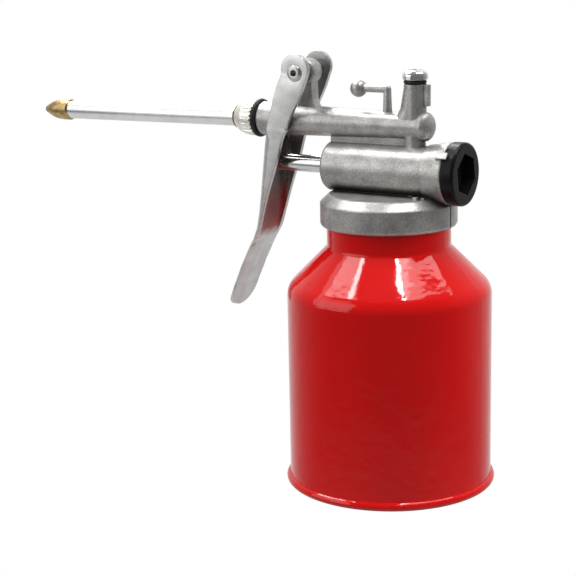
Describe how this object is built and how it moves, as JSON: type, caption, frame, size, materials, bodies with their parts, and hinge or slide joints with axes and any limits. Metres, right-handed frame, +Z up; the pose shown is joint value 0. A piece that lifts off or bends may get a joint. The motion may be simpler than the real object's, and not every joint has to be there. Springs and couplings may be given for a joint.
{
  "type": "trigger pump oil can",
  "caption": "Round steel oil can with a die-cast pump head, a pistol trigger on its spout side and a straight spout with a tapered brass tip.",
  "frame": {"origin": "centre of the can's base, on the can's axis, in the plane that the seam stands on", "axes": "+Z up along the can's axis; +X along the pump barrel towards the end plug, so the spout points along -X; +Y completes a right-handed frame"},
  "size_m": [0.1846, 0.0726, 0.1474],
  "materials": {
    "red_paint": "gloss stove enamel",
    "cast_alloy": "tumbled die casting, fine grain",
    "trigger_steel": "matte zinc-plated sheet",
    "nickel_plate": "bright nickel",
    "plated_tube": "bright plated, satin",
    "screw_chrome": "bright",
    "polished_steel": "polished",
    "spring_steel": "plain",
    "brass": "turned, slightly tarnished",
    "black_plastic": "moulded, soft sheen",
    "black_rubber": "oiled",
    "natural_nylon": "extruded"
  },
  "bodies": {
    "can": {"can_shell": "red_paint", "can_bottom": "red_paint"},
    "neck_seal": {"neck_gasket": "black_rubber"},
    "head": {"head_casting": "cast_alloy", "rod_seal": "black_rubber", "seal_retainer": "brass", "end_plug": "black_plastic", "end_plug_gasket": "black_rubber", "return_spring": "spring_steel", "intake_seat": "brass", "suction_tube": "natural_nylon", "strainer": "brass", "discharge_spring": "spring_steel", "valve_screw": "screw_chrome", "valve_oring": "black_rubber"},
    "plunger": {"plunger_rod": "polished_steel", "piston_cup": "black_rubber", "piston_washer": "spring_steel", "piston_nut": "spring_steel"},
    "trigger": {"trigger": "trigger_steel", "pivot_rivet": "nickel_plate"},
    "intake_valve": {"intake_ball": "polished_steel"},
    "discharge_valve": {"discharge_ball": "polished_steel"},
    "spout_seal": {"spout_oring": "black_rubber"},
    "spout": {"spout_nut": "nickel_plate", "braze_ring": "brass", "spout_tube": "plated_tube", "spout_tip": "brass"}
  },
  "joints": [
    {"name": "neck_rise", "type": "slide", "parent": "can", "child": "neck_seal", "axis": [0, 0, 1], "range_m": [0, 0.006]},
    {"name": "head_unscrew", "type": "hinge", "parent": "neck_seal", "child": "head", "pos_m": [0, 0, 0.0982], "axis": [0, 0, 1], "range_deg": [0, 720]},
    {"name": "trigger_squeeze", "type": "hinge", "parent": "head", "child": "trigger", "pos_m": [-0.0313, 0, 0.141], "axis": [0, -1, 0], "range_deg": [0, 15]},
    {"name": "plunger_stroke", "type": "slide", "parent": "head", "child": "plunger", "axis": [1, 0, 0], "range_m": [0, 0.00838], "stiffness_N_per_m": 600, "springref_m": -0.01, "deforming": ["return_spring"]},
    {"name": "intake_lift", "type": "slide", "parent": "head", "child": "intake_valve", "axis": [0, 0, 1], "range_m": [0, 0.0012]},
    {"name": "discharge_lift", "type": "slide", "parent": "head", "child": "discharge_valve", "axis": [0, 0, 1], "range_m": [0, 0.0012], "stiffness_N_per_m": 100, "springref_m": -0.003, "deforming": ["discharge_spring"]},
    {"name": "spout_back_out", "type": "slide", "parent": "head", "child": "spout_seal", "axis": [-1, 0, 0], "range_m": [0, 0.0045]},
    {"name": "spout_unscrew", "type": "hinge", "parent": "spout_seal", "child": "spout", "pos_m": [-0.0517, 0, 0.1241], "axis": [-1, 0, 0], "range_deg": [0, 1080]}
  ],
  "couplings": [
    {"joint": "trigger_squeeze", "follows": "plunger_stroke", "rad_per_m": 31.25},
    {"joint": "head_unscrew", "follows": "neck_rise", "rad_per_m": 2094.4},
    {"joint": "spout_unscrew", "follows": "spout_back_out", "rad_per_m": 4188.8}
  ]
}
